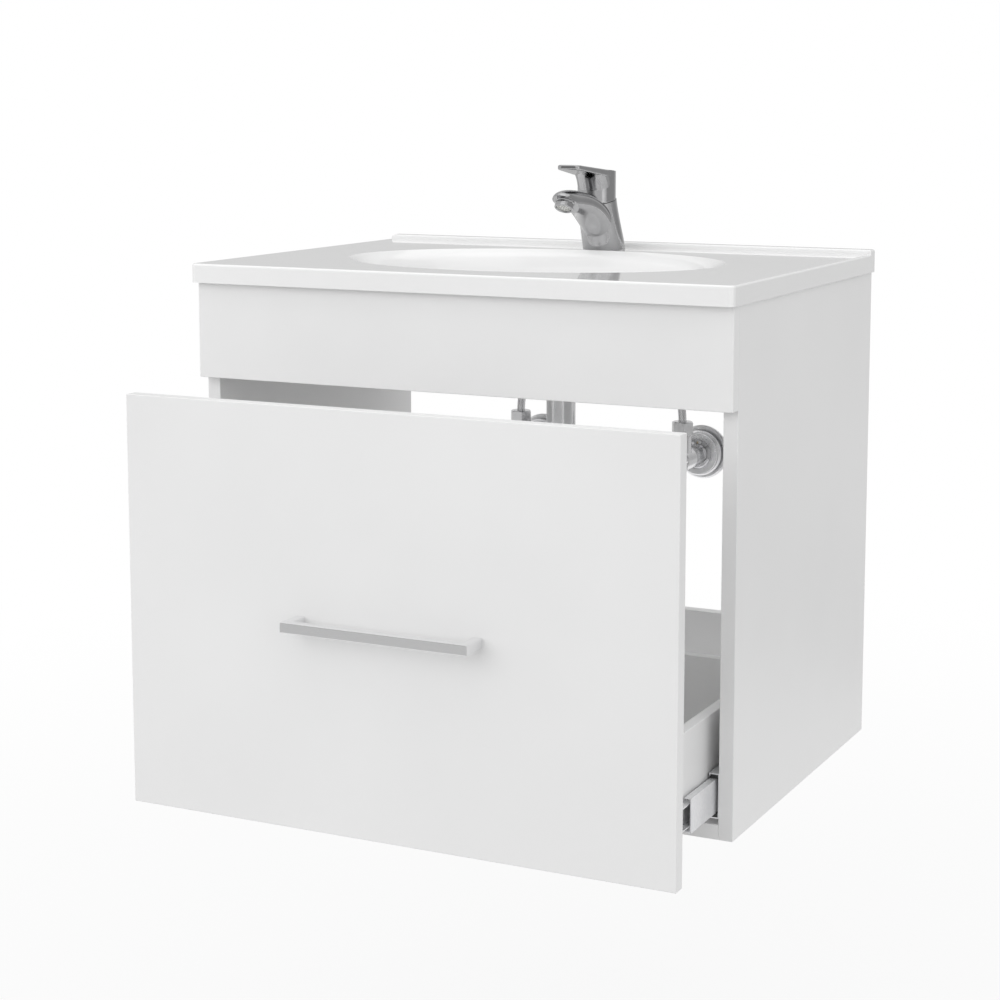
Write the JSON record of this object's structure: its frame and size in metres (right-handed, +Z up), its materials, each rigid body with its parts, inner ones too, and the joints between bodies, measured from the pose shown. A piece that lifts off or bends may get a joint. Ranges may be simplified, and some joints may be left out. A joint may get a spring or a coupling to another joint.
{
  "type": "wall-hung vanity unit with sink",
  "caption": "Wall-hung white vanity: sink top with oval bowl and lever tap over a board cabinet with a fixed top panel and one deep drawer on ball slides.",
  "frame": {"origin": "centre of the four wall screws on the wall plane", "axes": "+Y into the wall, +Z up, +X to the right of someone facing the drawer"},
  "size_m": [0.6, 0.628, 0.6397],
  "materials": {
    "white_board": "white melamine board",
    "white_sheet": "thin white hardboard",
    "dowel_wood": "raw beech",
    "sink_white": "glossy white",
    "chrome": "polished chrome",
    "handle_metal": "satin",
    "zinc_steel": "zinc plated",
    "braid": "braided steel hose",
    "brass": "plain brass",
    "black_plastic": "black nylon",
    "cartridge_plastic": "pale plastic",
    "gasket_rubber": "black rubber"
  },
  "bodies": {
    "cabinet": {"aerator_screen": "cartridge_plastic", "bottom_back_rail": "white_board", "bottom_front_rail": "white_board", "cabinet_screws": "zinc_steel", "cam_bolts": "zinc_steel", "cam_locks": "zinc_steel", "drain_body": "chrome", "drain_gasket": "gasket_rubber", "drain_locknut": "brass", "faucet_aerator": "chrome", "faucet_body": "chrome", "faucet_cartridge": "cartridge_plastic", "faucet_horseshoe": "zinc_steel", "faucet_nut": "brass", "faucet_stud": "zinc_steel", "front_brackets": "zinc_steel", "hose_left": "braid", "hose_nuts": "chrome", "hose_right": "braid", "hose_stems": "brass", "outer_rails": "zinc_steel", "rail_stops": "black_plastic", "side_panel_left": "white_board", "side_panel_right": "white_board", "sink_top": "sink_white", "top_back_rail": "white_board", "top_front_panel": "white_board", "trap_bottle": "chrome", "trap_cup": "chrome", "trap_inlet_tube": "chrome", "trap_nuts": "chrome", "trap_outlet_tube": "chrome", "trap_wall_flange": "chrome", "valve_body_left": "chrome", "valve_body_right": "chrome", "valve_flanges": "chrome", "wood_dowels": "dowel_wood"},
    "drawer": {"drawer_front": "white_board", "drawer_side_left": "white_board", "drawer_side_right": "white_board", "drawer_back": "white_board", "drawer_bottom": "white_sheet", "handle": "handle_metal", "handle_screws": "zinc_steel", "drawer_brackets": "zinc_steel", "drawer_screws": "zinc_steel", "drawer_back_screws": "zinc_steel", "inner_rails": "zinc_steel"},
    "slide_middles": {"middle_rails": "zinc_steel"},
    "outer_cages": {"outer_ball_cages": "black_plastic", "outer_balls": "zinc_steel"},
    "inner_cages": {"inner_ball_cages": "black_plastic", "inner_balls": "zinc_steel"},
    "lever_spindle": {"lever_spindle": "brass", "lever_pin": "zinc_steel"},
    "lever": {"faucet_lever": "chrome"},
    "valve_knob_left": {"valve_knob_left": "chrome"},
    "valve_knob_right": {"valve_knob_right": "chrome"},
    "drain_plug": {"drain_plug": "chrome"}
  },
  "joints": [
    {"name": "drawer_slide", "type": "slide", "parent": "cabinet", "child": "drawer", "axis": [0, -1, 0], "range_m": [-0.131, 0.219]},
    {"name": "middle_slide", "type": "slide", "parent": "cabinet", "child": "slide_middles", "axis": [0, -1, 0], "range_m": [-0.0655, 0.1095]},
    {"name": "outer_cage_roll", "type": "slide", "parent": "cabinet", "child": "outer_cages", "axis": [0, -1, 0], "range_m": [-0.03275, 0.05475]},
    {"name": "inner_cage_roll", "type": "slide", "parent": "cabinet", "child": "inner_cages", "axis": [0, -1, 0], "range_m": [-0.09825, 0.16425]},
    {"name": "lever_swivel", "type": "hinge", "parent": "cabinet", "child": "lever_spindle", "pos_m": [0, -0.081, 0.347], "axis": [0, 0, 1], "range_deg": [-45, 45]},
    {"name": "lever_lift", "type": "hinge", "parent": "lever_spindle", "child": "lever", "pos_m": [0, -0.081, 0.34721], "axis": [-1, 0, 0], "range_deg": [0, 20]},
    {"name": "valve_turn_left", "type": "hinge", "parent": "cabinet", "child": "valve_knob_left", "pos_m": [-0.101, -0.095, 0.04], "axis": [0, -1, 0], "range_deg": [0, 90]},
    {"name": "valve_turn_right", "type": "hinge", "parent": "cabinet", "child": "valve_knob_right", "pos_m": [0.101, -0.095, 0.04], "axis": [0, -1, 0], "range_deg": [0, 90]},
    {"name": "plug_lift", "type": "slide", "parent": "cabinet", "child": "drain_plug", "axis": [0, 0, 1], "range_m": [0, 0.008]}
  ],
  "couplings": [
    {"joint": "middle_slide", "follows": "drawer_slide", "ratio": 0.5},
    {"joint": "outer_cage_roll", "follows": "drawer_slide", "ratio": 0.25},
    {"joint": "inner_cage_roll", "follows": "drawer_slide", "ratio": 0.75}
  ]
}
